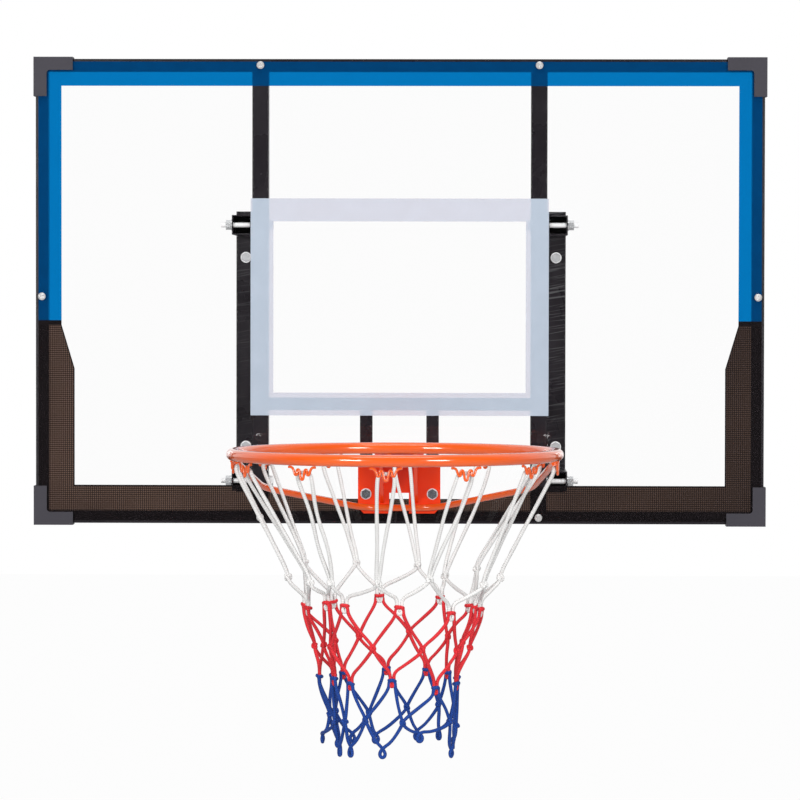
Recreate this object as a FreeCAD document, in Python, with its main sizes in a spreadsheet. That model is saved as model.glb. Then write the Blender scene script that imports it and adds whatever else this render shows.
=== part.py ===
import FreeCAD, Part
import cmath
import math
import os
from types import SimpleNamespace

import Sketcher

# A wall-mounted basketball backboard: a clear panel on a steel tube frame, an orange rim with
# its net, and two C-shaped brackets that carry the frame on a wall.
# The origin is the centre of the wall bolts on the wall plane. +X is right as seen by a player,
# +Y goes into the wall and +Z is up. Lengths are in millimetres and turns in degrees.

DIMENSIONS = {
    # board
    "frame_width": 1114,
    "frame_height": 710,
    "frame_tube": 19,
    "frame_wall": 1.2,
    "wall_gap": 160,
    "frame_bottom_drop": 261,
    "panel_inset": 4,
    "panel_thickness": 3.5,
    "print_thickness": 0.3,
    "upright_tube": 25,
    "upright_wall": 1.5,
    "upright_spacing": 426,
    "cross_tube_size": 19,
    "cross_tube_rise": 183,
    # prints on the back of the panel
    "border_side": 35.4,
    "border_top": 37,
    "colour_split_rise": 310.6,
    "lower_border_side": 55.4,
    "lower_border_height": 54.5,
    "taper_start": 7,
    "taper_end": 73.6,
    "dip_border_height": 34,
    "dip_outer_half": 202,
    "dip_inner_half": 97,
    "target_width": 456,
    "target_height": 332,
    "target_band": 35,
    "target_rise": 165.4,
    # corner caps
    "cap_leg": 60,
    "cap_face": 20,
    "cap_side_wall": 3,
    "cap_face_wall": 2,
    "cap_inner_round": 5,
    # panel screws
    "screw_shank": 5,
    "screw_head": 11.5,
    "screw_head_height": 3.2,
    "screw_head_edge": 1.4,
    "screw_head_crown": 7,
    "screw_hole_gap": 0.6,
    "side_screw_rise": 36.4,
    "screw_nut_flats": 8,
    "screw_nut_height": 4,
    "screw_end": 2,
    # rim
    "ring_inner": 450,
    "ring_rod": 17,
    "ring_reach": 375,
    "ring_rise": 121.5,
    "rim_plate_width": 126,
    "rim_plate_height": 88.7,
    "rim_plate_shoulder": 16.8,
    "rim_plate_thickness": 4,
    "rim_plate_corner": 9,
    "rim_notch_width": 30,
    "rim_notch_height": 31.5,
    "rim_neck_width": 75,
    "rim_neck_thickness": 4,
    "gusset_spacing": 52,
    "gusset_thickness": 5,
    "gusset_height": 88,
    "gusset_nose": 6,
    "gusset_nose_gap": 14,
    "brace_rod": 10,
    "brace_end_reach": 334,
    "brace_bend_half": 200,
    "brace_bend_reach": 155,
    "brace_bend_round": 100,
    "brace_foot_half": 55,
    "brace_foot_round": 60,
    "brace_foot_rise": 9,
    "weld_gap": 0.1,
    # rim bolts
    "rim_bolt_spacing": 101.6,
    "rim_bolt_low": 30,
    "rim_bolt_pitch": 50.1,
    "bolt_shank": 8,
    "bolt_flats": 13,
    "bolt_head": 5.3,
    "bolt_hole_gap": 0.9,
    "bolt_end": 3,
    "nut_height": 6.5,
    "nut_bore_gap": 0.1,
    "washer_outer": 17,
    "washer_bore_gap": 0.6,
    "washer_thickness": 1.5,
    # net and its hooks
    "hook_count": 12,
    "hook_turn": -4,
    "front_hook_shift": 2,
    "front_left_hook_shift": 1.6,
    "rear_hook_shift": 2.4,
    "hook_wire": 3.6,
    "hook_end_half": 22.5,
    "hook_shoulder_half": 20,
    "hook_shoulder_bend": 6,
    "hook_bend": 2.1,
    "hook_valley_half": 10.2,
    "hook_valley_drop": 10.6,
    "hook_ear_half": 6.6,
    "hook_ear_drop": 7.2,
    "hook_tip_drop": 17,
    "net_gap": 0.4,
    "white_cord": 5.5,
    "coloured_cord": 4.2,
    "white_knot": 11,
    "coloured_knot": 9.5,
    "loop_half": 11,
    "loop_drop": 18,
    "loop_waist_half": 11,
    "loop_waist_drop": 62,
    "white_knot_drop": 175,
    "white_knot_radius": 152,
    "white_red_drop": 222,
    "white_red_radius": 129,
    "red_knot_drop": 273,
    "red_knot_radius": 111,
    "red_blue_drop": 324,
    "red_blue_radius": 99,
    "blue_knot_drop": 374,
    "blue_knot_radius": 96,
    "net_end_drop": 426,
    "net_end_radius": 88,
    # wall brackets
    "bracket_tube": 30,
    "bracket_wall": 2,
    "bracket_gap": 1.5,
    "arm_spacing": 392,
    "arm_front_gap": 4,
    "rail_length": 438,
    "bracket_nut_height": 8,
    "bracket_bolt_end": 7,
    "wall_bolt_spacing": 295,
    "wall_bolt_reach": 60,
    "wall_bolt_neck": 7.2,
}

doc = FreeCAD.newDocument("BasketballBackboard")
sheet = doc.addObject("Spreadsheet::Sheet", "Sizes")
for row, (alias, number) in enumerate(DIMENSIONS.items(), 1):
    sheet.set(f"A{row}", alias)
    sheet.set(f"B{row}", str(number))
    sheet.setAlias(f"B{row}", alias)
doc.recompute()


class Size:
    """A number from the sheet, or worked out from it, with the formula that binds it."""

    def __init__(self, value, formula):
        self.value = value
        self.formula = formula

    @staticmethod
    def of(other):
        return other if isinstance(other, Size) else Size(other, f"({other})")

    def __add__(self, other):
        other = Size.of(other)
        return Size(self.value + other.value, f"({self.formula} + {other.formula})")

    def __sub__(self, other):
        other = Size.of(other)
        return Size(self.value - other.value, f"({self.formula} - {other.formula})")

    def __mul__(self, share):
        return Size(self.value * share, f"({self.formula} * ({share}))")

    def __truediv__(self, share):
        return Size(self.value / share, f"({self.formula} / {share})")

    def __neg__(self):
        return self * -1


S = SimpleNamespace(**{alias: Size(sheet.get(alias), f"Sizes.{alias}") for alias in DIMENSIONS})
ZERO = Size(0, "0")
SIDES = {"left": -1, "right": 1}
LEVELS = {"upper": 1, "lower": -1}
HEX_CORNER_SHARE = 1 / math.sqrt(3)
HEX_SIDE_SHARE = HEX_CORNER_SHARE / 2

# Places that several pieces share.
panel_front = -S.wall_gap
panel_back = panel_front + S.panel_thickness
frame_front = panel_back + S.print_thickness
frame_back = frame_front + S.frame_tube
frame_bottom = -S.frame_bottom_drop
board_middle = frame_bottom + S.frame_height / 2
colour_split = frame_bottom + S.colour_split_rise - board_middle
panel_width = S.frame_width - S.panel_inset * 2
panel_height = S.frame_height - S.panel_inset * 2
upright_half = S.upright_spacing / 2
screw_half_width = S.frame_width / 2 - S.frame_tube / 2
screw_half_height = S.frame_height / 2 - S.frame_tube / 2
screw_hole = S.screw_shank / 2 + S.screw_hole_gap / 2
bolt_hole = S.bolt_shank / 2 + S.bolt_hole_gap / 2
ring_radius = S.ring_inner / 2 + S.ring_rod / 2
ring_y = panel_front - S.ring_reach
ring_z = frame_bottom + S.ring_rise
plate_front = panel_front - S.rim_plate_thickness
plate_bottom = ring_z - S.rim_plate_shoulder - S.rim_plate_height
rim_bolt_half = S.rim_bolt_spacing / 2
rim_bolt_heights = (plate_bottom + S.rim_bolt_low, plate_bottom + S.rim_bolt_low + S.rim_bolt_pitch)
bracket_x = upright_half + S.upright_tube / 2 + S.bracket_gap + S.bracket_tube / 2
pivot_y = frame_front + S.upright_tube / 2
arm_half = S.arm_spacing / 2
wall_bolt_half = S.wall_bolt_spacing / 2
rail_front = -S.bracket_tube

PANEL_SCREWS = [
    (upright_half * side, screw_half_height * level)
    for side in SIDES.values()
    for level in LEVELS.values()
] + [(screw_half_width * side, colour_split + S.side_screw_rise) for side in SIDES.values()]

nodes = []


def keep(item, label):
    """Names a finished piece, which becomes one file."""
    item.Label = label
    nodes.append(item)
    return item


def bind(item, name, size):
    item.setExpression(name, size.formula)


def place(item, x, y, z, turn=None):
    item.Placement = FreeCAD.Placement(FreeCAD.Vector(), turn or FreeCAD.Rotation())
    for axis, size in zip("xyz", (x, y, z)):
        bind(item, f"Placement.Base.{axis}", size)
    return item


def body_named(name):
    return doc.addObject("PartDesign::Body", name)


def sketch_on(body, role):
    sketch = body.newObject("Sketcher::SketchObject", "Sketch")
    plane = next(feature for feature in body.Origin.OriginFeatures if feature.Role == role)
    sketch.AttachmentSupport = [(plane, "")]
    sketch.MapMode = "FlatFace"
    return sketch


def fix_point(sketch, geometry, position, across, up):
    """Dimensions a point from the sketch's origin."""
    for kind, size in (("DistanceX", across), ("DistanceY", up)):
        rule = Sketcher.Constraint(kind, -1, 1, geometry, position, size.value)
        index = sketch.addConstraint(rule)
        bind(sketch, f"Constraints[{index}]", size)


def outline(sketch, points):
    """A closed outline of straight lines through points of named sizes."""
    corners = [FreeCAD.Vector(across.value, up.value, 0) for across, up in points]
    first = sketch.GeometryCount
    for start, end in zip(corners, corners[1:] + corners[:1]):
        sketch.addGeometry(Part.LineSegment(start, end), False)
    for index, (across, up) in enumerate(points):
        following = (index + 1) % len(points)
        sketch.addConstraint(Sketcher.Constraint("Coincident", first + index, 2, first + following, 1))
        fix_point(sketch, first + index, 1, across, up)


def centred_rectangle(sketch, width, height):
    half, tall = width / 2, height / 2
    outline(sketch, [(-half, -tall), (half, -tall), (half, tall), (-half, tall)])


def circle(sketch, across, up, radius):
    centre = FreeCAD.Vector(across.value, up.value, 0)
    index = sketch.addGeometry(Part.Circle(centre, FreeCAD.Vector(0, 0, 1), radius.value), False)
    fix_point(sketch, index, 3, across, up)
    rule = sketch.addConstraint(Sketcher.Constraint("Radius", index, radius.value))
    bind(sketch, f"Constraints[{rule}]", radius)


def pad(body, sketch, length, side_type="One side", backward=False):
    feature = body.newObject("PartDesign::Pad", "Pad")
    feature.Profile = sketch
    feature.SideType = side_type
    feature.Reversed = backward
    bind(feature, "Length", length)
    return feature


def drill(body, role, centres, radius):
    """Round holes right through a body, square to one of its planes."""
    sketch = sketch_on(body, role)
    for across, up in centres:
        circle(sketch, across, up, radius)
    pocket = body.newObject("PartDesign::Pocket", "Holes")
    pocket.Profile = sketch
    pocket.Type = "ThroughAll"
    pocket.SideType = "Symmetric"


def tube(label, role, width, height, wall, length):
    """A square tube, square to one plane and centred on its body's origin."""
    body = keep(body_named(label), label)
    sketch = sketch_on(body, role)
    centred_rectangle(sketch, width, height)
    centred_rectangle(sketch, width - wall * 2, height - wall * 2)
    pad(body, sketch, length, "Symmetric")
    return body


def plate(label, points, holes, hole_radius, thickness):
    """A flat piece drawn on the XZ plane, which grows towards the player."""
    body = keep(body_named(label), label)
    sketch = sketch_on(body, "XZ_Plane")
    for loop in points:
        outline(sketch, loop)
    for across, up in holes:
        circle(sketch, across, up, hole_radius)
    pad(body, sketch, thickness)
    return body


def mirrored(half):
    """A whole outline from the points of its right half, listed from the middle outwards and back."""
    return half + [(-across, up) for across, up in reversed(half)]


def revolved(name, half):
    """A turned piece from half its section, drawn with its axis along Y."""
    body = body_named(name)
    sketch = sketch_on(body, "XY_Plane")
    outline(sketch, half)
    feature = body.newObject("PartDesign::Revolution", "Revolution")
    feature.Profile = sketch
    feature.ReferenceAxis = (sketch, ["V_Axis"])
    return body


def hexagon_on(body, flats, bore=None):
    """A hexagon on the XZ plane, with a bore where one is given."""
    sketch = sketch_on(body, "XZ_Plane")
    corner, side = flats * HEX_CORNER_SHARE, flats * HEX_SIDE_SHARE
    half = flats / 2
    points = [(half, side), (ZERO, corner), (-half, side), (-half, -side), (ZERO, -corner), (half, -side)]
    outline(sketch, points)
    if bore:
        circle(sketch, ZERO, ZERO, bore)
    return sketch


def hex_bolt(name, length, neck=None, neck_length=None):
    """A hex bolt along Y, with the seat of its head at its origin and its head on the -Y side.
    The part of the shank next to the head can have a thinner neck."""
    shank = S.bolt_shank / 2
    section = [(ZERO, ZERO), (shank, ZERO), (shank, length), (ZERO, length)]
    if neck:
        section[1:2] = [(neck / 2, ZERO), (neck / 2, neck_length), (shank, neck_length)]
    body = revolved(name, section)
    pad(body, hexagon_on(body, S.bolt_flats), S.bolt_head)
    return body


def hex_nut(name, flats, height, bore):
    """A nut along Y that grows from its seat at its origin towards +Y."""
    body = body_named(name)
    pad(body, hexagon_on(body, flats, bore + S.nut_bore_gap / 2), height, backward=True)
    return body


def washer(name):
    """A washer along Y that grows from its origin towards +Y."""
    body = body_named(name)
    sketch = sketch_on(body, "XZ_Plane")
    circle(sketch, ZERO, ZERO, S.washer_outer / 2)
    circle(sketch, ZERO, ZERO, S.bolt_shank / 2 + S.washer_bore_gap / 2)
    pad(body, sketch, S.washer_thickness, backward=True)
    return body


def set_of(label, master, places):
    """Identical loose pieces in one node: copies of a master at each place, with a turn if given."""
    copies = []
    for number, (x, y, z, turn) in enumerate(places, 1):
        copy = doc.addObject("App::Link", f"{label}_{number}")
        copy.LinkedObject = master
        copies.append(place(copy, x, y, z, turn))
    group = doc.addObject("Part::Compound", label)
    group.Links = copies
    return keep(group, label)


# Turns that swing a fastener's +Y axis to the right or to the left.
TOWARDS_RIGHT = FreeCAD.Rotation(FreeCAD.Vector(0, 0, 1), -90)
TOWARDS_LEFT = FreeCAD.Rotation(FreeCAD.Vector(0, 0, 1), 90)
OUTWARDS = {-1: TOWARDS_LEFT, 1: TOWARDS_RIGHT}


def clear_panel():
    half, tall = panel_width / 2, panel_height / 2
    edge = [(-half, -tall), (half, -tall), (half, tall), (-half, tall)]
    body = plate("clear_panel", [edge], PANEL_SCREWS, screw_hole, S.panel_thickness)
    heights = [height - board_middle for height in rim_bolt_heights]
    drill(body, "XZ_Plane", [(rim_bolt_half * s, h) for s in SIDES.values() for h in heights], bolt_hole)
    place(body, ZERO, panel_back, board_middle)


def prints():
    """Three printed films on the back of the panel, with holes for the screws that pass them."""
    half, tall = panel_width / 2, panel_height / 2
    split = colour_split
    inner = half - S.border_side
    upper = mirrored([(inner, tall - S.border_top), (inner, split), (half, split), (half, tall)])
    screws = [spot for spot in PANEL_SCREWS if spot[1].value > split.value]
    place(
        plate("blue_border_print", [upper], screws, screw_hole, S.print_thickness),
        ZERO, frame_front, board_middle,
    )
    low_inner = half - S.lower_border_side
    low_edge = S.lower_border_height - tall
    lower = mirrored([
        (S.dip_inner_half, S.dip_border_height - tall),
        (S.dip_outer_half, low_edge),
        (low_inner, low_edge),
        (low_inner, split - S.taper_end),
        (inner, split - S.taper_start),
        (inner, split),
        (half, split),
        (half, -tall),
    ])
    screws = [spot for spot in PANEL_SCREWS if spot[1].value < split.value]
    place(
        plate("dark_border_print", [lower], screws, screw_hole, S.print_thickness),
        ZERO, frame_front, board_middle,
    )
    wide, high = S.target_width / 2, S.target_height / 2
    thin, low = wide - S.target_band, high - S.target_band
    loops = [
        [(-a, -b), (a, -b), (a, b), (-a, b)]
        for a, b in ((wide, high), (thin, low))
    ]
    target = plate("target_print", loops, [], screw_hole, S.print_thickness)
    place(target, ZERO, frame_front, frame_bottom + S.target_rise + high)


def frame_tubes():
    size, wall = S.frame_tube, S.frame_wall
    middle = frame_front + size / 2
    for name, level in (("top", 1), ("bottom", -1)):
        rail = tube(f"frame_{name}_rail", "YZ_Plane", size, size, wall, S.frame_width)
        drill(rail, "XZ_Plane", [(upright_half * side, ZERO) for side in SIDES.values()], screw_hole)
        place(rail, ZERO, middle, board_middle + screw_half_height * level)
    between = S.frame_height - size * 2
    for name, side in SIDES.items():
        rail = tube(f"frame_{name}_rail", "XY_Plane", size, size, wall, between)
        drill(rail, "XZ_Plane", [(ZERO, colour_split + S.side_screw_rise)], screw_hole)
        place(rail, screw_half_width * side, middle, board_middle)
        upright = tube(f"{name}_upright", "XY_Plane", S.upright_tube, S.upright_tube, S.upright_wall, between)
        pivots = [(ZERO, arm_half * level - board_middle) for level in LEVELS.values()]
        drill(upright, "YZ_Plane", pivots, bolt_hole)
        place(upright, upright_half * side, frame_front + S.upright_tube / 2, board_middle)


def rim_support_tubes():
    """The cross tube between the uprights, and two struts below it that take the rim's bolts."""
    size, wall = S.cross_tube_size, S.frame_wall
    middle = frame_front + size / 2
    cross_z = frame_bottom + S.cross_tube_rise
    cross = tube("cross_tube", "YZ_Plane", size, size, wall, S.upright_spacing - S.upright_tube)
    place(cross, ZERO, middle, cross_z)
    top = cross_z - size / 2
    bottom = frame_bottom + S.frame_tube
    centre = (top + bottom) / 2
    for name, side in SIDES.items():
        strut = tube(f"{name}_rim_strut", "XY_Plane", size, size, wall, top - bottom)
        drill(strut, "XZ_Plane", [(ZERO, height - centre) for height in rim_bolt_heights], bolt_hole)
        place(strut, rim_bolt_half * side, middle, centre)


def corner_caps():
    """Moulded L-shaped caps that wrap the frame's corners from the front, the edges and the back."""
    depth = S.panel_thickness + S.print_thickness + S.frame_tube
    half, tall = S.frame_width / 2, S.frame_height / 2
    for side_name, side in SIDES.items():
        for level_name, level in (("top", 1), ("bottom", -1)):
            label = f"{level_name}_{side_name}_corner_cap"
            body = keep(body_named(label), label)

            def shape(leg, face, edge):
                """The L on the XZ plane; its legs point to the middle of the board."""
                points = [(edge, edge), (edge, -leg), (edge - face, -leg), (edge - face, edge - face),
                          (-leg, edge - face), (-leg, edge)]
                return [(across * side, up * level) for across, up in points]

            leg = S.cap_leg - S.cap_side_wall
            outer = sketch_on(body, "XZ_Plane")
            outline(outer, shape(leg, S.cap_face, S.cap_side_wall))
            block = pad(body, outer, depth + S.cap_face_wall * 2, "Symmetric")
            doc.recompute()
            inner = S.cap_side_wall - S.cap_face
            spot = FreeCAD.Vector(inner.value * side, 0, inner.value * level)
            edges = block.Shape.Edges
            nearest = min(range(len(edges)), key=lambda n: edges[n].CenterOfMass.distanceToPoint(spot))
            round_off = body.newObject("PartDesign::Fillet", "InnerRound")
            round_off.Base = (block, [f"Edge{nearest + 1}"])
            bind(round_off, "Radius", S.cap_inner_round)
            hollow = sketch_on(body, "XZ_Plane")
            outline(hollow, shape(leg + S.cap_side_wall, S.cap_face + S.cap_side_wall, ZERO))
            pocket = body.newObject("PartDesign::Pocket", "Hollow")
            pocket.Profile = hollow
            pocket.SideType = "Symmetric"
            bind(pocket, "Length", depth)
            place(body, half * side, panel_front + depth / 2, board_middle + tall * level)


def panel_fasteners():
    """Pan-head screws through the panel and the frame tubes, with a nut behind each."""
    head, shank = S.screw_head / 2, S.screw_shank / 2
    grip = S.panel_thickness + S.print_thickness + S.frame_tube + S.screw_nut_height + S.screw_end
    section = [
        (ZERO, -S.screw_head_height),
        (S.screw_head_crown / 2, -S.screw_head_height),
        (head, -S.screw_head_edge),
        (head, ZERO),
        (shank, ZERO),
        (shank, grip),
        (ZERO, grip),
    ]
    screw = revolved("PanelScrew", section)
    set_of(
        "panel_screws", screw,
        [(x, panel_front, board_middle + z, None) for x, z in PANEL_SCREWS],
    )
    nut = hex_nut("PanelNut", S.screw_nut_flats, S.screw_nut_height, shank)
    set_of(
        "panel_screw_nuts", nut,
        [(x, frame_back, board_middle + z, None) for x, z in PANEL_SCREWS],
    )


def rim_plate_and_neck():
    """A plate with a notch below and a tab above, and the neck that joins the tab to the ring."""
    half, corner = S.rim_plate_width / 2, S.rim_plate_corner
    notch, height = S.rim_notch_width / 2, S.rim_plate_height
    tab, tab_top = S.rim_neck_width / 2, ring_z + S.rim_neck_thickness / 2 - plate_bottom
    edge = mirrored([
        (notch, S.rim_notch_height),
        (notch, ZERO),
        (half - corner, ZERO),
        (half, corner),
        (half, height),
        (tab, height),
        (tab, tab_top),
    ])
    holes = [(rim_bolt_half * s, z - plate_bottom) for s in SIDES.values() for z in rim_bolt_heights]
    body = plate("rim_plate", [edge], holes, bolt_hole, S.rim_plate_thickness)
    place(body, ZERO, panel_front, plate_bottom)

    reach = plate_front - ring_y
    neck_blank = doc.addObject("Part::Box", "NeckBlank")
    bind(neck_blank, "Length", S.rim_neck_width)
    bind(neck_blank, "Width", reach)
    bind(neck_blank, "Height", S.rim_neck_thickness)
    place(neck_blank, -S.rim_neck_width / 2, ring_y, ring_z - S.rim_neck_thickness / 2)
    ring_space = doc.addObject("Part::Cylinder", "RingSpace")
    bind(ring_space, "Radius", ring_radius + S.ring_rod / 2 + S.weld_gap)
    bind(ring_space, "Height", S.rim_neck_thickness * 2)
    place(ring_space, ZERO, ring_y, ring_z - S.rim_neck_thickness)
    neck = doc.addObject("Part::Cut", "rim_neck")
    neck.Base = neck_blank
    neck.Tool = ring_space
    keep(neck, "rim_neck")

    under = ring_z - S.rim_neck_thickness / 2
    nose = ring_y + ring_radius + S.ring_rod / 2 + S.gusset_nose_gap
    for name, side in SIDES.items():
        label = f"{name}_rim_gusset"
        gusset = keep(body_named(label), label)
        sketch = sketch_on(gusset, "YZ_Plane")
        outline(sketch, [(plate_front, under), (plate_front, under - S.gusset_height),
                         (nose, under - S.gusset_nose), (nose, under)])
        pad(gusset, sketch, S.gusset_thickness, "Symmetric")
        place(gusset, S.gusset_spacing / 2 * side, ZERO, ZERO)


def rim_ring():
    ring = doc.addObject("Part::Torus", "rim_ring")
    bind(ring, "Radius1", ring_radius)
    bind(ring, "Radius2", S.ring_rod / 2)
    place(ring, ZERO, ring_y, ring_z)
    keep(ring, "rim_ring")


def rounded_wire(points, rounds):
    """Straight runs through the points, with the inner corners rounded by arcs."""
    edges, start = [], points[0]
    for before, corner, after, radius in zip(points, points[1:], points[2:], rounds):
        to_before, to_after = (before - corner).normalize(), (after - corner).normalize()
        opening = to_before.getAngle(to_after)
        back = radius / math.tan(opening / 2)
        middle = (to_before + to_after).normalize()
        inset = radius / math.sin(opening / 2) - radius
        arc_start, arc_end = corner + to_before * back, corner + to_after * back
        edges.append(Part.LineSegment(start, arc_start).toShape())
        edges.append(Part.Arc(arc_start, corner + middle * inset, arc_end).toShape())
        start = arc_end
    edges.append(Part.LineSegment(start, points[-1]).toShape())
    return Part.Wire(edges)


def rod_along(path, start, heading, radius):
    """A round rod along a path that leaves its start with this heading."""
    section = Part.Wire(Part.makeCircle(radius, start, heading))
    return path.makePipeShell([section], True, False)


def pinned_path(start, end, pins, to_space):
    """A flat path bent round pins. A bend above 0 has its pin on the left of the path, else on the right."""
    stops = [(start, 0)] + pins + [(end, 0)]
    headings = [
        cmath.phase(there - here) - math.asin((next_bend - bend) / abs(there - here))
        for (here, bend), (there, next_bend) in zip(stops, stops[1:])
    ]
    edges, leaving, full_turn = [], to_space(start), 2 * math.pi
    for (pin, bend), came, went in zip(pins, headings, headings[1:]):
        turn = (went - came) % full_turn if bend > 0 else -((came - went) % full_turn)
        touch = [came, came + turn / 2, came + turn]
        arc = [to_space(pin - 1j * bend * cmath.exp(1j * heading)) for heading in touch]
        edges.append(Part.LineSegment(leaving, arc[0]).toShape())
        edges.append(Part.Arc(*arc).toShape())
        leaving = arc[-1]
    edges.append(Part.LineSegment(leaving, to_space(end)).toShape())
    return Part.Wire(edges)


def shaped(label, shape):
    item = doc.addObject("Part::Feature", label)
    item.Shape = shape
    return keep(item, label)


def rim_brace():
    """One rod, bent flat and tilted: it runs back from under the ring and crosses in front of the plate."""
    rod = S.brace_rod.value / 2
    foot_y = (plate_front - S.weld_gap).value - rod
    foot_z = (plate_bottom + S.brace_foot_rise).value
    end_y = (panel_front - S.brace_end_reach).value
    end_x = math.sqrt(ring_radius.value**2 - (end_y - ring_y.value) ** 2)
    end_z = (ring_z - S.ring_rod / 2 - S.weld_gap).value - rod
    bend_y = (panel_front - S.brace_bend_reach).value
    bend_x, foot_x = S.brace_bend_half.value, S.brace_foot_half.value
    bend_z = end_z + (foot_z - end_z) * (bend_y - end_y) / (foot_y - end_y)
    half = [
        FreeCAD.Vector(foot_x, foot_y, foot_z),
        FreeCAD.Vector(bend_x, bend_y, bend_z),
        FreeCAD.Vector(end_x, end_y, end_z),
    ]
    points = [FreeCAD.Vector(-p.x, p.y, p.z) for p in reversed(half)] + half
    bend, foot = S.brace_bend_round.value, S.brace_foot_round.value
    path = rounded_wire(points, [bend, foot, foot, bend])
    shaped("rim_brace", rod_along(path, points[0], points[1] - points[0], rod))


def around_ring(shape, turn):
    """A copy of a shape made at the front of the ring, turned about the ring's axis."""
    copy = shape.copy()
    axis = FreeCAD.Vector(0, ring_y.value, ring_z.value)
    copy.rotate(axis, FreeCAD.Vector(0, 0, 1), turn)
    return copy


def hook_turns():
    """Even turns about the ring, from the front hook on."""
    step = 360 / S.hook_count.value
    return [S.hook_turn.value + step * number for number in range(int(S.hook_count.value))]


def hook_shifts():
    """How far each hook sits from its even turn: three are off by a little."""
    shifts = [0] * int(S.hook_count.value)
    shifts[0] = S.front_hook_shift.value
    shifts[-1] = S.front_left_hook_shift.value
    shifts[len(shifts) // 2] = S.rear_hook_shift.value
    return shifts


def net_hooks():
    """Bent wire hooks welded under the ring: two outer valleys and a pointed middle loop."""
    wire = S.hook_wire.value / 2
    top = -(S.ring_rod / 2 + S.weld_gap).value
    shoulder, bend = S.hook_shoulder_bend.value, S.hook_bend.value
    half = [
        (S.hook_ear_half.value, top - S.hook_ear_drop.value, -bend),
        (S.hook_valley_half.value, top - S.hook_valley_drop.value, bend),
        (S.hook_shoulder_half.value, top - wire - shoulder, -shoulder),
    ]
    tip = (0, top - S.hook_tip_drop.value, bend)
    spots = [(-x, z, turn) for x, z, turn in reversed(half)] + [tip] + half
    pins = [(complex(x, z), turn) for x, z, turn in spots]
    end = complex(S.hook_end_half.value, top - wire)
    front_y = (ring_y - ring_radius).value

    def to_space(spot):
        return FreeCAD.Vector(spot.real, front_y, ring_z.value + spot.imag)

    start = -end.conjugate()
    path = pinned_path(start, end, pins, to_space)
    hook = rod_along(path, to_space(start), FreeCAD.Vector(1, 0, 0), wire)
    turns = [turn + shift for turn, shift in zip(hook_turns(), hook_shifts())]
    shaped("net_hooks", Part.makeCompound([around_ring(hook, turn) for turn in turns]))


def ball(centre, diameter):
    """A ball with its poles along Y, clear of the cords that leave it."""
    return Part.makeSphere(diameter / 2, centre, FreeCAD.Vector(0, 1, 0))


def straight_cord(start, end, diameter):
    run = end - start
    return Part.makeCylinder(diameter / 2, run.Length, start, run)


def net():
    """Knotted cords in three colours. Each knot carries two cords down to the next row's knots."""
    step = 360 / S.hook_count.value

    def spot(radius, drop, half_steps=0):
        turn = math.radians(step / 2 * half_steps)
        return FreeCAD.Vector(
            math.sin(turn) * radius,
            ring_y.value - math.cos(turn) * radius,
            ring_z.value - drop,
        )

    def turned(place, turn):
        about = FreeCAD.Rotation(FreeCAD.Vector(0, 0, 1), turn)
        centre = FreeCAD.Vector(0, ring_y.value, ring_z.value)
        return centre + about.multVec(place - centre)

    def all_round(piece, half_steps=0):
        return [around_ring(piece, turn + step / 2 * half_steps) for turn in hook_turns()]

    def fork(row, below, cord, knot, knot_below):
        """A knot with two cords that end on the knots of the next row, half a step to each side."""
        ends = [spot(below[0], below[1], half_steps) for half_steps in (-1, 1)]
        cords = [straight_cord(spot(*row), end, cord) for end in ends]
        joined = ball(spot(*row), knot).fuse(cords)
        return joined.cut([ball(end, knot_below + tie_gap) for end in ends])

    tie_gap = S.weld_gap.value * 2
    white, thin = S.white_cord.value, S.coloured_cord.value
    big, small = S.white_knot.value, S.coloured_knot.value
    white_knots = (S.white_knot_radius.value, S.white_knot_drop.value)
    white_red = (S.white_red_radius.value, S.white_red_drop.value)
    red_knots = (S.red_knot_radius.value, S.red_knot_drop.value)
    red_blue = (S.red_blue_radius.value, S.red_blue_drop.value)
    blue_knots = (S.blue_knot_radius.value, S.blue_knot_drop.value)
    ends = (S.net_end_radius.value, S.net_end_drop.value)

    # A loop behind each hook, with two cords that come together at the first white knot.
    loop_radius = ring_radius.value - S.hook_wire.value / 2 - white / 2 - S.net_gap.value
    waist_share = S.loop_waist_drop.value / S.white_knot_drop.value
    waist_radius = loop_radius + (white_knots[0] - loop_radius) * waist_share
    top, waist = spot(loop_radius, S.loop_drop.value), spot(waist_radius, S.loop_waist_drop.value)
    aside, out = FreeCAD.Vector(S.loop_half.value, 0, 0), FreeCAD.Vector(S.loop_waist_half.value, 0, 0)
    tie, apart = spot(*white_knots), FreeCAD.Vector((white + tie_gap) / 2, 0, 0)

    def loop(shift):
        """Its top goes with the hook and its tie stays at the knot."""
        tops = [turned(top - aside, shift), turned(top + aside, shift)]
        waist_shift = shift * (1 - waist_share)
        waists = [turned(waist - out, waist_shift), turned(waist + out, waist_shift)]
        route = [tie - apart, waists[0], tops[0], tops[1], waists[1], tie + apart]
        runs = [straight_cord(start, end, white) for start, end in zip(route, route[1:])]
        joined = runs[0].fuse(runs[1:] + [ball(corner, white) for corner in route[1:-1]])
        return joined.cut(ball(tie, big + tie_gap))

    loops = [around_ring(loop(shift), turn) for turn, shift in zip(hook_turns(), hook_shifts())]
    white_fork = fork(white_knots, white_red, white, big, small)
    shaped("net_white_cords", Part.makeCompound(loops + all_round(white_fork)))
    red_top = fork(white_red, red_knots, thin, small, small)
    red_low = fork(red_knots, red_blue, thin, small, small)
    shaped("net_red_cords", Part.makeCompound(all_round(red_top, 1) + all_round(red_low)))
    blue_top = fork(red_blue, blue_knots, thin, small, small)
    blue_low = fork(blue_knots, ends, thin, small, small)
    tips = all_round(ball(spot(*ends), small), 1)
    shaped("net_blue_cords", Part.makeCompound(all_round(blue_top, 1) + all_round(blue_low) + tips))


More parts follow.
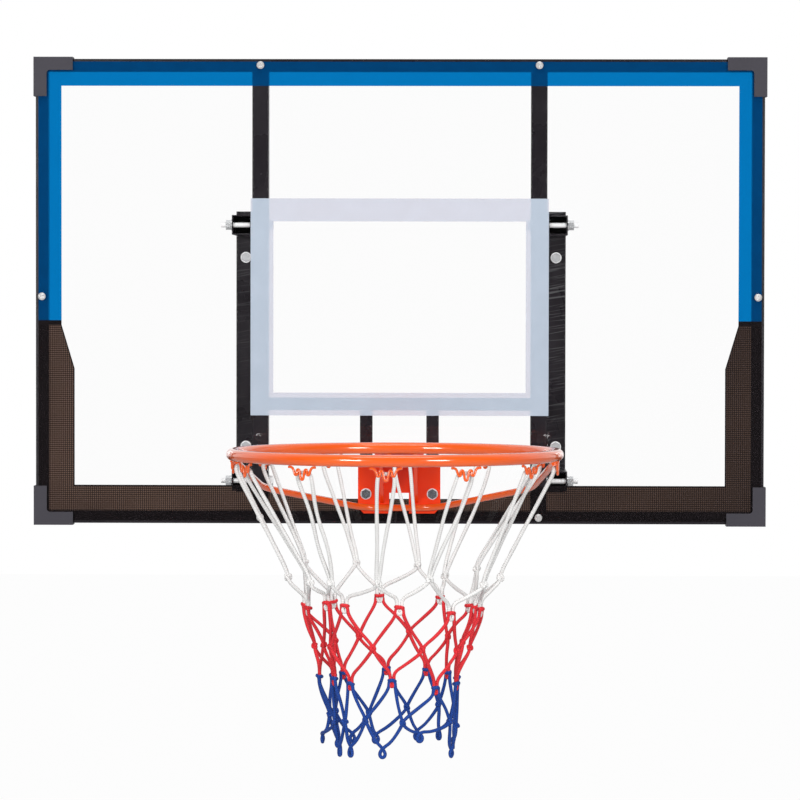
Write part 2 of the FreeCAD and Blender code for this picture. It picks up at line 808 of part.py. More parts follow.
def rim_fasteners():
    """Hex bolts through the plate, the panel and the struts, with washers and nuts."""
    spots = [(rim_bolt_half * side, z) for side in SIDES.values() for z in rim_bolt_heights]
    washer_front = plate_front - S.washer_thickness
    nut_seat = frame_front + S.cross_tube_size + S.washer_thickness
    grip = nut_seat - washer_front + S.nut_height + S.bolt_end
    bolt = hex_bolt("RimBolt", grip)
    set_of("rim_bolts", bolt, [(x, washer_front, z, None) for x, z in spots])
    ring = washer("RimWasher")
    seats = (washer_front, nut_seat - S.washer_thickness)
    set_of("rim_bolt_washers", ring, [(x, y, z, None) for x, z in spots for y in seats])
    nut = hex_nut("RimNut", S.bolt_flats, S.nut_height, S.bolt_shank / 2)
    set_of("rim_bolt_nuts", nut, [(x, nut_seat, z, None) for x, z in spots])


def wall_brackets():
    """On each side an upright rail on the wall and two arms, open at the front, welded to it."""
    size, wall = S.bracket_tube, S.bracket_wall
    arm_front = frame_front + S.arm_front_gap
    arm_length = rail_front - arm_front
    for name, side in SIDES.items():
        rail = tube(f"{name}_wall_rail", "XY_Plane", size, size, wall, S.rail_length)
        drill(rail, "XZ_Plane", [(ZERO, wall_bolt_half * level) for level in LEVELS.values()], bolt_hole)
        place(rail, bracket_x * side, rail_front / 2, ZERO)
        for level_name, level in LEVELS.items():
            arm = tube(f"{level_name}_{name}_arm", "XZ_Plane", size, size, wall, arm_length)
            middle = arm_front + arm_length / 2
            drill(arm, "YZ_Plane", [(pivot_y - middle, ZERO)], bolt_hole)
            place(arm, bracket_x * side, middle, arm_half * level)


def bracket_fasteners():
    """Bolts across each upright and arm, and the bolts that hold the rails on the wall."""
    inner = upright_half - S.upright_tube / 2
    spacer = upright_half + S.upright_tube / 2
    outer = bracket_x + S.bracket_tube / 2
    head_seat = inner - S.washer_thickness
    nut_seat = outer + S.washer_thickness
    corners = [(side, arm_half * level) for side in SIDES.values() for level in LEVELS.values()]
    grip = nut_seat - head_seat + S.bracket_nut_height + S.bracket_bolt_end
    bolt = hex_bolt("BracketBolt", grip)
    set_of("bracket_bolts", bolt, [(head_seat * s, pivot_y, z, OUTWARDS[s]) for s, z in corners])
    ring = washer("BracketWasher")
    seats = (head_seat, spacer, outer)
    set_of(
        "bracket_washers", ring,
        [(seat * s, pivot_y, z, OUTWARDS[s]) for s, z in corners for seat in seats],
    )
    nut = hex_nut("BracketNut", S.bolt_flats, S.bracket_nut_height, S.bolt_shank / 2)
    set_of("bracket_nuts", nut, [(nut_seat * s, pivot_y, z, OUTWARDS[s]) for s, z in corners])

    spots = [(bracket_x * s, wall_bolt_half * level) for s in SIDES.values() for level in LEVELS.values()]
    wall_seat = rail_front - S.washer_thickness
    wall_bolt = hex_bolt("WallBolt", S.wall_bolt_reach - wall_seat, S.wall_bolt_neck, -wall_seat)
    set_of("wall_bolts", wall_bolt, [(x, wall_seat, z, None) for x, z in spots])
    set_of("wall_bolt_washers", washer("WallWasher"), [(x, wall_seat, z, None) for x, z in spots])


def check_document():
    """Stops before anything is written if a piece failed or has no valid shape."""
    for item in doc.Objects:
        if "Invalid" in item.State or "Error" in item.State:
            raise RuntimeError(f"{item.Label} failed: {item.State}")
    for item in nodes:
        if item.Shape.isNull() or not item.Shape.isValid():
            raise RuntimeError(f"{item.Label} has no valid shape")


clear_panel()
prints()
frame_tubes()
rim_support_tubes()
corner_caps()
panel_fasteners()
rim_plate_and_neck()
rim_ring()
rim_brace()
net_hooks()
net()
rim_fasteners()
wall_brackets()
bracket_fasteners()
doc.recompute()
check_document()

os.makedirs("parts", exist_ok=True)
for item in nodes:
    item.Shape.exportStep(f"parts/{item.Label}.step")
    box = item.Shape.BoundBox
    print(f"{item.Label}: {len(item.Shape.Solids)} solids, {item.Shape.Volume / 1000:.1f} cm3, "
          f"x {box.XMin:.1f}..{box.XMax:.1f} y {box.YMin:.1f}..{box.YMax:.1f} z {box.ZMin:.1f}..{box.ZMax:.1f}")
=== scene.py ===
import math
import random

import bpy
from mathutils import Matrix, Quaternion, Vector


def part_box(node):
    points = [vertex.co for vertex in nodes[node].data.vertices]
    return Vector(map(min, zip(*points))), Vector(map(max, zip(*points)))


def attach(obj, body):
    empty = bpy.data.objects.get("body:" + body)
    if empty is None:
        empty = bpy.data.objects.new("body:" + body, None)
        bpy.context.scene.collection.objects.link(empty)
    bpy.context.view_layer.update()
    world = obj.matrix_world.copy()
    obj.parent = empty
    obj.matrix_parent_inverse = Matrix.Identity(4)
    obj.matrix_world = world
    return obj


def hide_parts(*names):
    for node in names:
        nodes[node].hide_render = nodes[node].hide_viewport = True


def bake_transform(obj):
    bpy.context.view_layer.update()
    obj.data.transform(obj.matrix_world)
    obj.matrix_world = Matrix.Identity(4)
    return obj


# The looks of a wall-mounted basketball backboard, dressed over its CAD frame. Lengths are in metres.
# Those of the screws and the net are in millimetres until they are multiplied by MM.
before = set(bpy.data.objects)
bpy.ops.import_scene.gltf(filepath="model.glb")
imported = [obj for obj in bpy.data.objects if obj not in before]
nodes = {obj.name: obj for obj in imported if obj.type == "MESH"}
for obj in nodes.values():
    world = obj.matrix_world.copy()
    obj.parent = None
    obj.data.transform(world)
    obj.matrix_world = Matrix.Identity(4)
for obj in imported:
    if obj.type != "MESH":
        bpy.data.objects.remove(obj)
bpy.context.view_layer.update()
MM = 0.001

# Places that the materials and the net share with the CAD model
BOARD_MIDDLE = 94 * MM
RING_Y = -535 * MM
RING_Z = -139.5 * MM


# Helpers

def grey(value):
    return (value, value, value, 1)


def linked(name, data):
    """A new object, put in the scene."""
    item = bpy.data.objects.new(name, data)
    bpy.context.scene.collection.objects.link(item)
    return item


def meshed(name, corners, faces, material):
    """A new mesh object of these corners and faces."""
    mesh = bpy.data.meshes.new(name)
    mesh.from_pydata(corners, [], faces)
    mesh.materials.append(material)
    return linked(name, mesh)


class Shader:
    """The nodes of a new material or world, with short ways to add nodes and links."""

    NOISE_LOW = 0.3
    NOISE_HIGH = 0.7
    BEVEL_SAMPLES = 6
    # A Mix node's type, and its sockets for the factor, the two values and the result
    NUMBERS = ("FLOAT", 0, 2, 3, 0)
    COLOURS = ("RGBA", 0, 6, 7, 2)

    def __init__(self, owner, output="ShaderNodeOutputMaterial"):
        self.owner = owner
        owner.use_nodes = True
        self.tree = owner.node_tree
        self.tree.nodes.clear()
        self.output = self.add(output)

    def add(self, kind, settings=None, **sockets):
        """A new node. Its sockets' names have _ for each space."""
        node = self.tree.nodes.new(kind)
        for name, value in (settings or {}).items():
            setattr(node, name, value)
        for name, value in sockets.items():
            self.put(node.inputs[name.replace("_", " ")], value)
        return node

    def put(self, socket, value):
        """Sets a socket, or links it where the value is another socket."""
        if isinstance(value, bpy.types.NodeSocket):
            self.tree.links.new(value, socket)
        else:
            socket.default_value = value

    def fill(self, node, *values):
        """Puts values into a node's sockets, in their order."""
        for socket, value in zip(node.inputs, values):
            self.put(socket, value)
        return node.outputs[0]

    def math(self, operation, *values):
        return self.fill(self.add("ShaderNodeMath", {"operation": operation}), *values)

    def spread(self, value, low, high, to_low, to_high):
        """Maps a range of values onto another, held at its ends."""
        return self.fill(self.add("ShaderNodeMapRange"), value, low, high, to_low, to_high)

    def graded(self, noise, to_low, to_high):
        """Maps the usual values of a noise onto a range."""
        return self.spread(noise, self.NOISE_LOW, self.NOISE_HIGH, to_low, to_high)

    def blend(self, factor, first, second, kind=COLOURS):
        """Blends two colours, or two numbers where the kind says so."""
        data_type, *places, result = kind
        node = self.add("ShaderNodeMix", {"data_type": data_type})
        for place, value in zip(places, (factor, first, second)):
            self.put(node.inputs[place], value)
        return node.outputs[result]

    def noise(self, vector, scale, detail=2.0, roughness=0.5):
        node = self.add("ShaderNodeTexNoise", Vector=vector, Scale=scale, Detail=detail, Roughness=roughness)
        return node.outputs["Fac"]

    def coordinates(self, kind):
        return self.add("ShaderNodeTexCoord").outputs[kind]

    def position(self):
        return self.coordinates("Object")

    def axes(self, vector):
        return self.add("ShaderNodeSeparateXYZ", Vector=vector).outputs

    def stretched(self, vector, scale, turn):
        """Turns the coordinates, and then stretches them."""
        inverse = [1 / part for part in scale]
        node = self.add(
            "ShaderNodeMapping", {"vector_type": "TEXTURE"}, Vector=vector, Scale=inverse, Rotation=turn,
        )
        return node.outputs[0]

    def bump(self, height, strength, distance, edge_round=0.0):
        """Fine relief, on top of edges that catch the light as if they were rounded."""
        node = self.add("ShaderNodeBump", Strength=strength, Distance=distance, Height=height)
        if edge_round:
            edge = self.add("ShaderNodeBevel", {"samples": self.BEVEL_SAMPLES}, Radius=edge_round)
            self.put(node.inputs["Normal"], edge.outputs[0])
        return node.outputs[0]

    def shader(self, kind, **sockets):
        return self.add("ShaderNodeBsdf" + kind, **sockets).outputs[0]

    def mixed(self, share, first, second):
        """Two shaders, and the second one's share."""
        return self.fill(self.add("ShaderNodeMixShader"), share, first, second)

    def surface(self, socket):
        self.tree.links.new(socket, self.output.inputs["Surface"])
        return self.owner


def new_material(name):
    return Shader(bpy.data.materials.new(name))


def dress(material, *names):
    for name in names:
        mesh = nodes[name].data
        mesh.materials.clear()
        mesh.materials.append(material)


# Materials of the frame, rim and fittings

PAINT_DARK = (0.0065, 0.0045, 0.0072, 1)
PAINT_LIGHT = (0.0135, 0.0096, 0.0148, 1)
SCRATCH_COLOUR = (0.115, 0.115, 0.12, 1)
SCRATCH_LENGTH = 9.0
# Fineness and slant of each set of scratches
SCRATCH_SETS = ((420.0, -0.20), (330.0, -0.12))
CAP_DARK = (0.0255, 0.0225, 0.0340, 1)
CAP_LIGHT = (0.0340, 0.0300, 0.0440, 1)


def scratches(s, place):
    """Two sets of thin slanted lines, stronger to the right and where the paint is rubbed."""
    lines = []
    for fineness, slant in SCRATCH_SETS:
        along = s.stretched(place, (SCRATCH_LENGTH, SCRATCH_LENGTH, fineness), (0, slant, 0))
        streak = s.noise(along, scale=1.0, detail=1.0)
        lines.append(s.spread(streak, low=0.60, high=0.72, to_low=0.0, to_high=1.0))
    x, _, _ = s.axes(place)
    more_right = s.spread(x, low=-0.2, high=0.2, to_low=0.25, to_high=1.0)
    rubbed = s.spread(s.noise(place, scale=9.0), low=0.35, high=0.6, to_low=0.25, to_high=1.0)
    return s.math("MULTIPLY", s.math("MAXIMUM", *lines), s.math("MULTIPLY", rubbed, more_right))


def black_paint(name, scratched):
    """Black powder coat: fine orange peel, soft wear and, on the wall brackets, thin bright scratches."""
    s = new_material(name)
    place = s.position()
    patch = s.noise(place, scale=14.0, detail=4.0)
    colour = s.blend(patch, PAINT_DARK, PAINT_LIGHT)
    if scratched:
        colour = s.blend(scratches(s, place), colour, SCRATCH_COLOUR)
    peel = s.noise(place, scale=900.0, detail=3.0)
    return s.surface(s.shader(
        "Principled", Base_Color=colour, Specular_IOR_Level=0.30,
        Roughness=s.graded(patch, to_low=0.24, to_high=0.34),
        Normal=s.bump(peel, strength=0.12, distance=0.4 * MM, edge_round=3 * MM),
    ))


def orange_paint(name, dark, light, coat):
    """Glossy coat with a slight flow in it."""
    s = new_material(name)
    place = s.position()
    patch = s.noise(place, scale=9.0, detail=3.0)
    flow = s.noise(place, scale=500.0)
    return s.surface(s.shader(
        "Principled", Base_Color=s.blend(s.graded(patch, to_low=0.0, to_high=1.0), dark, light),
        Roughness=s.graded(s.noise(place, scale=60.0), to_low=0.14, to_high=0.20),
        Normal=s.bump(flow, strength=0.08, distance=0.5 * MM),
        Coat_Weight=coat, Coat_Roughness=0.03,
    ))


def zinc_steel(name, dark, light, smooth, rough, metallic):
    """Zinc plate: cloudy crystals and fine turning marks. On the darker copies the cloud's strong light and
    dark patches are painted reflections and shade as well as crystals.
    """
    s = new_material(name)
    place = s.position()
    cloud = s.noise(place, scale=160.0, detail=4.0)
    finish = s.noise(place, scale=700.0)
    marks = s.noise(place, scale=1800.0)
    return s.surface(s.shader(
        "Principled", Base_Color=s.blend(cloud, dark, light), Roughness=s.graded(finish, smooth, rough),
        Normal=s.bump(marks, strength=0.07, distance=0.2 * MM), Metallic=metallic,
    ))


def grey_plastic():
    """Moulded plastic with a fine spark-eroded grain."""
    s = new_material("grey_plastic")
    place = s.position()
    grain = s.noise(place, scale=1500.0, detail=3.0, roughness=0.6)
    patch = s.noise(place, scale=20.0, detail=3.0)
    return s.surface(s.shader(
        "Principled", Base_Color=s.blend(patch, CAP_DARK, CAP_LIGHT),
        Roughness=s.graded(grain, to_low=0.48, to_high=0.62),
        Normal=s.bump(grain, strength=0.25, distance=0.3 * MM),
    ))


def clear_plastic():
    """A polished clear sheet: light goes straight through, and the face it enters by mirrors a little."""
    s = new_material("clear_plastic")
    wave = s.noise(s.position(), scale=3.0)
    normal = s.bump(wave, strength=0.01, distance=2 * MM)
    through = s.shader("Transparent", Color=grey(1.0))
    mirror = s.shader("Glossy", Color=grey(1.0), Roughness=0.0, Normal=normal)
    share = s.add("ShaderNodeFresnel", IOR=1.42, Normal=normal).outputs[0]
    inner_side = s.add("ShaderNodeNewGeometry").outputs["Backfacing"]
    return s.surface(s.mixed(inner_side, s.mixed(share, through, mirror), through))


frame_black = black_paint("black_paint", scratched=False)
worn_black = black_paint("worn_black_paint", scratched=True)
# The rim has one orange paint all over. These two copies differ as painted light and shade: the rods' colour
# is more orange, standing in for the light they catch from above and below, and the plate's red is raised
# against the shade that the ring and neck cast on it.
sheet_orange_painted_light = orange_paint(
    "sheet_orange_painted_light", dark=(0.97, 0.050, 0.005, 1), light=(1.0, 0.060, 0.007, 1), coat=0.15,
)
rod_orange_painted_light = orange_paint(
    "rod_orange_painted_light", dark=(0.81, 0.098, 0.009, 1), light=(0.87, 0.122, 0.012, 1), coat=0.8,
)
# All the fittings have one zinc plating, and its copies differ in colour as painted light and shade. This
# copy and the palest one are painted pale to stand in for the strong front light on washers, nuts and bolt
# shanks.
bright_zinc_painted_light = zinc_steel(
    "bright_zinc_painted_light", dark=(0.80, 0.81, 0.83, 1), light=(0.93, 0.94, 0.95, 1),
    smooth=0.38, rough=0.52, metallic=0.45,
)
satin_zinc = zinc_steel(
    "satin_zinc", dark=(0.62, 0.63, 0.65, 1), light=(0.86, 0.87, 0.88, 1),
    smooth=0.22, rough=0.34, metallic=0.9,
)
head_zinc = zinc_steel(
    "head_zinc", dark=(0.36, 0.37, 0.39, 1), light=(0.78, 0.79, 0.80, 1),
    smooth=0.28, rough=0.42, metallic=0.5,
)
# The strong mottle of this copy is painted shade in the screw heads' cross recesses.
screw_zinc = zinc_steel(
    "screw_zinc", dark=(0.40, 0.385, 0.38, 1), light=(0.90, 0.90, 0.90, 1),
    smooth=0.34, rough=0.48, metallic=0.40,
)
# The palest copy: its colour is painted light, for the bright front light on washers and bracket bolt
# shanks.
pale_zinc_painted_light = zinc_steel(
    "pale_zinc_painted_light", dark=(0.92, 0.93, 0.94, 1), light=(0.97, 0.97, 0.97, 1),
    smooth=0.30, rough=0.42, metallic=0.25,
)
# The strong light and dark patches of this copy are painted reflections on the rim bolt heads.
polished_zinc_painted_reflections = zinc_steel(
    "polished_zinc_painted_reflections", dark=(0.24, 0.26, 0.31, 1), light=(0.80, 0.83, 0.88, 1),
    smooth=0.12, rough=0.24, metallic=1.0,
)
dress(
    frame_black, "frame_top_rail", "frame_bottom_rail", "frame_left_rail", "frame_right_rail",
    "left_upright", "right_upright", "cross_tube", "left_rim_strut", "right_rim_strut",
)
dress(
    worn_black, "left_wall_rail", "right_wall_rail", "upper_left_arm", "lower_left_arm",
    "upper_right_arm", "lower_right_arm",
)
dress(sheet_orange_painted_light, "rim_plate", "rim_neck", "left_rim_gusset", "right_rim_gusset")
dress(rod_orange_painted_light, "rim_ring", "rim_brace", "net_hooks")
dress(polished_zinc_painted_reflections, "rim_bolts")
dress(head_zinc, "wall_bolts")
dress(satin_zinc, "bracket_washers", "bracket_nuts")
dress(pale_zinc_painted_light, "bracket_bolts", "wall_bolt_washers", "rim_bolt_washers")
dress(bright_zinc_painted_light, "rim_bolt_nuts", "panel_screw_nuts")
dress(
    grey_plastic(), "top_left_corner_cap", "top_right_corner_cap", "bottom_left_corner_cap",
    "bottom_right_corner_cap",
)
dress(clear_plastic(), "clear_panel")


# Printed films

FACING_FRONT = -0.5
# The dark print's edges, measured from the board's middle. The inner one slopes at the sides and dips
# behind the rim.
STRIP_BOTTOM = -51.4 * MM
SIDE_SLOPE_BOTTOM = -118 * MM
SIDE_EDGE_LOW = 497.6 * MM
SIDE_EDGE_HIGH = 517.6 * MM
DIP_START = 97 * MM
DIP_END = 202 * MM
DIP_LEVEL = -317 * MM
LOW_EDGE_LEVEL = -296.5 * MM
EDGE_LINE = 1.6 * MM
DOT_PITCH = 6.4 * MM


def film(s, cover, ink, tint):
    """A printed film: ink that covers a share of it, and a tint that light passes through."""
    print_side = s.shader("Principled", Base_Color=ink, Roughness=0.6, Specular_IOR_Level=0.0)
    through = s.shader("Transparent", Color=tint)
    return s.surface(s.mixed(cover, through, print_side))


def cloudy_print(name, dark, light, cover, tint):
    """Slightly uneven ink. cover is the range of the share that it covers."""
    s = new_material(name)
    cloud = s.noise(s.position(), scale=30.0, detail=3.0)
    return film(s, s.graded(cloud, *cover), s.blend(cloud, dark, light), tint)


def dark_print():
    """Black ink with a grid of small dots that let some light through, and solid lines along its upper
    and inner edges."""
    s = new_material("dark_print")
    place = s.position()
    x, _, z = s.axes(place)
    aside = s.math("ABSOLUTE", x)
    up = s.math("SUBTRACT", z, BOARD_MIDDLE)
    side_edge = s.spread(up, SIDE_SLOPE_BOTTOM, STRIP_BOTTOM, SIDE_EDGE_LOW, SIDE_EDGE_HIGH)
    low_edge = s.spread(aside, DIP_START, DIP_END, DIP_LEVEL, LOW_EDGE_LEVEL)
    inside = s.math("MAXIMUM", s.math("SUBTRACT", aside, side_edge), s.math("SUBTRACT", low_edge, up))
    edge_line = s.math("LESS_THAN", inside, EDGE_LINE)
    top_strip = s.math("GREATER_THAN", up, STRIP_BOTTOM)
    waves = [s.math("SINE", s.math("MULTIPLY", axis, math.tau / DOT_PITCH)) for axis in (x, z)]
    dots = s.math("ABSOLUTE", s.math("MULTIPLY", *waves))
    cloud = s.graded(s.noise(place, scale=7.0, detail=3.0), to_low=0.8, to_high=1.2)
    more_left = s.spread(x, low=-0.5, high=0.5, to_low=1.32, to_high=0.76)
    uneven = s.math("MULTIPLY", cloud, more_left)
    holes = s.spread(dots, low=0.20, high=0.90, to_low=0.012, to_high=0.112)
    clear = s.math("MULTIPLY", holes, uneven)
    solid = s.math("MAXIMUM", edge_line, top_strip)
    cover = s.math("MAXIMUM", solid, s.math("SUBTRACT", 1.0, clear))
    return film(s, cover, ink=(0.0100, 0.0080, 0.0090, 1), tint=(0.95, 0.58, 0.42, 1))


def printed_film(name, node, material):
    """The print as one sheet, in the middle of its CAD solid's thickness, so that it meets no other face."""
    solid = nodes[node].data
    lowest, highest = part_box(node)
    middle = Vector((0, (highest.y - lowest.y) / 2, 0))
    front = [list(face.vertices) for face in solid.polygons if face.normal.y < FACING_FRONT]
    used = sorted({corner for face in front for corner in face})
    number = {corner: n for n, corner in enumerate(used)}
    corners = [solid.vertices[corner].co + middle for corner in used]
    faces = [[number[corner] for corner in face] for face in front]
    piece = meshed(name, corners, faces, material)
    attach(piece, "backboard")
    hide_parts(node)


blue_print = cloudy_print(
    "blue_print", dark=(0.0005, 0.067, 0.215, 1), light=(0.0005, 0.075, 0.240, 1),
    cover=(0.58, 0.62), tint=(0.0, 0.33, 0.83, 1),
)
white_print = cloudy_print(
    "white_print", dark=(0.505, 0.585, 0.690, 1), light=(0.535, 0.610, 0.710, 1),
    cover=(0.79, 0.82), tint=(0.95, 0.62, 0.52, 1),
)
printed_film("blue_border_film", "blue_border_print", blue_print)
printed_film("target_film", "target_print", white_print)
printed_film("dark_border_film", "dark_border_print", dark_print())


# The panel screws, with a cross recess in each head

SCREW_SIDES = 64
SCREW_REACH = 20 * MM
SCREW_SPIN = 0.64
CROWN_RADIUS = 3.5
CROWN_STEP = 0.25
HEAD_RADIUS = 5.75
HEAD_HEIGHT = 3.2
HEAD_EDGE = 1.4
SHANK_RADIUS = 2.5
RECESS_WIDTH = 0.95
RECESS_REACH = 2.9
RECESS_WALL = 0.35
RECESS_DEPTH = 1.7


def screw_axes():
    """The middle of each screw, from the CAD corners that stand close together."""
    groups = []
    for vertex in nodes["panel_screws"].data.vertices:
        near = [group for group in groups if (group[0] - vertex.co).xz.length < SCREW_REACH]
        if near:
            near[0].append(vertex.co)
        else:
            groups.append([vertex.co])
    axes = []
    for group in groups:
        across = [corner.x for corner in group]
        up = [corner.z for corner in group]
        axes.append(((min(across) + max(across)) / 2, (min(up) + max(up)) / 2))
    return axes


def screw_rings(length):
    """Radius and height above the panel of each ring of corners, from the crown to the shank's end."""
    steps = round(CROWN_RADIUS / CROWN_STEP)
    crown = [((n + 1) * CROWN_STEP, HEAD_HEIGHT) for n in range(steps)]
    return crown + [(HEAD_RADIUS, HEAD_EDGE), (HEAD_RADIUS, 0), (SHANK_RADIUS, 0), (SHANK_RADIUS, -length)]


def recess(x, z):
    """How deep the cross recess is at a place on the head."""
    wide = (RECESS_WIDTH - min(abs(x), abs(z))) / RECESS_WALL
    long = (RECESS_REACH - max(abs(x), abs(z))) / RECESS_WALL
    return RECESS_DEPTH * max(0.0, min(1.0, wide, long))


def panel_screws():
    """All the screws in one mesh, each of them rings of corners round its axis."""
    front, back = (corner.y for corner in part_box("panel_screws"))
    seat = front + HEAD_HEIGHT * MM
    rings = screw_rings((back - seat) / MM)
    corners = []
    faces = []
    for n, (x, z) in enumerate(screw_axes()):
        cross = Matrix.Rotation(n * SCREW_SPIN, 2)
        first = len(corners)
        corners.append((x, front + RECESS_DEPTH * MM, z))
        for radius, height in rings:
            for side in range(SCREW_SIDES):
                turn = math.tau * side / SCREW_SIDES
                spot = Vector((math.cos(turn), math.sin(turn))) * radius
                depth = recess(*(cross @ spot)) if radius < CROWN_RADIUS else 0
                corners.append((x + spot.x * MM, seat - (height - depth) * MM, z + spot.y * MM))
        last = len(corners)
        corners.append((x, back, z))
        for side in range(SCREW_SIDES):
            beside = (side + 1) % SCREW_SIDES
            faces.append((first, first + 1 + side, first + 1 + beside))
            for ring in range(len(rings) - 1):
                here = first + 1 + ring * SCREW_SIDES
                there = here + SCREW_SIDES
                faces.append((here + side, there + side, there + beside, here + beside))
            end = last - SCREW_SIDES
            faces.append((last, end + beside, end + side))
    piece = meshed("recessed_screws", corners, faces, screw_zinc)
    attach(piece, "backboard")
    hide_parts("panel_screws")


panel_screws()


# The net

HOOKS = 12
HOOK_STEP = 360 / HOOKS
HOOK_TURN = -4
# Hooks that stand a few degrees off their even places
HOOK_SHIFTS = {0: 2, 6: 2.4, 11: 1.6}
LOOP_RADIUS = 228.6
LOOP_DROP = 18
# How far the two cords of a hook loop bow outwards, higher up and lower down
LOOP_BOW = (-0.3, -2.0)
LOOP_BOWS = {1: (3.0, 0.0), 5: (5.0, 3.0), 11: (-6.0, 3.5)}
WAIST_SHARE = 0.34
BELLY_SHARE = 0.70
WHITE_KNOT = 13
COLOUR_KNOT = 11
BRAID_AROUND = 5
BRAID_ALONG = 2

# Each row is read from the photograph, hook by hook round the ring: turn, radius and drop below the ring.
# The knots of odd rows hang under the hooks and those of even rows between them.
WHITE_KNOTS = [
    (-8, 152, 176), (20, 152, 169), (57, 152, 181), (86, 152, 176), (129, 152, 171), (152, 152, 184),
    (168, 152, 171), (203, 152, 165), (240, 153, 160), (264, 155, 178), (309, 152, 178), (325, 152, 176),
]
WHITE_RED = [
    (4, 129, 214), (39, 129, 224), (72, 129, 223), (100, 117, 223), (124, 129, 226), (150, 129, 217),
    (191, 129, 216), (225, 129, 222), (253, 136, 223), (286, 128, 222), (313, 129, 211), (328, 129, 213),
]
RED_KNOTS = [
    (-15, 111, 269), (22, 111, 271), (54, 111, 276), (87, 108, 277), (115, 108, 273), (137, 111, 269),
    (170, 111, 265), (209, 111, 270), (234, 108, 273), (267, 115, 276), (294, 110, 270), (306, 111, 271),
]
RED_BLUE = [
    (-1, 99, 319), (37, 99, 331), (69, 95, 329), (100, 91, 325), (130, 99, 322), (153, 99, 320),
    (188, 99, 320), (230, 99, 323), (246, 98, 325), (276, 108, 321), (300, 98, 321), (322, 99, 325),
]
BLUE_KNOTS = [
    (-24, 96, 373), (8, 96, 376), (56, 96, 378), (85, 89, 389), (116, 96, 373), (139, 96, 367),
    (170, 96, 373), (204, 96, 381), (240, 100, 374), (265, 94, 375), (298, 95, 380), (314, 96, 377),
]
END_EYES = [
    (-10, 88, 421), (25, 88, 399), (70, 87, 426), (97, 85, 418), (134, 88, 411), (159, 88, 414),
    (199, 88, 419), (225, 88, 415), (248, 89, 419), (265, 104, 410), (300, 89, 423), (316, 88, 422),
]


def cord(name, dark, light):
    """Braided cord. The braid runs along the tube's own coordinates."""
    s = new_material(name)
    u, v, _ = s.axes(s.coordinates("UV"))
    around = s.math("MULTIPLY", u, math.tau * BRAID_AROUND)
    along = s.math("MULTIPLY", v, math.tau * BRAID_ALONG)
    one = s.math("SINE", s.math("ADD", around, along))
    two = s.math("SINE", s.math("SUBTRACT", around, along))
    weave = s.math("MULTIPLY", one, two)
    fuzz = s.noise(s.position(), scale=2500.0, detail=3.0)
    shade = s.spread(s.math("ADD", weave, fuzz), low=-0.8, high=0.9, to_low=0.0, to_high=1.0)
    return s.surface(s.shader(
        "Principled", Base_Color=s.blend(shade, dark, light), Roughness=0.75, Specular_IOR_Level=0.3,
        Normal=s.bump(weave, strength=0.35, distance=0.3 * MM), Sheen_Weight=0.06,
    ))


class Tie:
    """A place on the net with its own directions: to the right round the ring, outwards and up."""

    def __init__(self, turn, radius, drop):
        angle = math.radians(turn)
        self.out = Vector((math.sin(angle), -math.cos(angle), 0))
        self.right = Vector((math.cos(angle), math.sin(angle), 0))
        self.place = Vector((0, RING_Y, RING_Z - drop * MM)) + self.out * radius * MM

    def at(self, right=0, out=0, up=0):
        """A point a few millimetres away, along the place's own directions."""
        return self.place + (self.right * right + self.out * out + Vector((0, 0, up))) * MM


def smooth_line(points, closed):
    """Points along a NURBS line that has these control points."""
    data = bpy.data.curves.new("line", "CURVE")
    data.dimensions = "3D"
    spline = data.splines.new("NURBS")
    spline.points.add(len(points) - 1)
    for control, point in zip(spline.points, points):
        control.co = (*point, 1)
    spline.use_cyclic_u = closed
    spline.use_endpoint_u = not closed
    spline.order_u = 3
    spline.resolution_u = 7
    holder = bpy.data.objects.new("line", data)
    mesh = bpy.data.meshes.new_from_object(holder)
    line = [vertex.co.copy() for vertex in mesh.vertices]
    bpy.data.meshes.remove(mesh)
    bpy.data.objects.remove(holder)
    bpy.data.curves.remove(data)
    return line


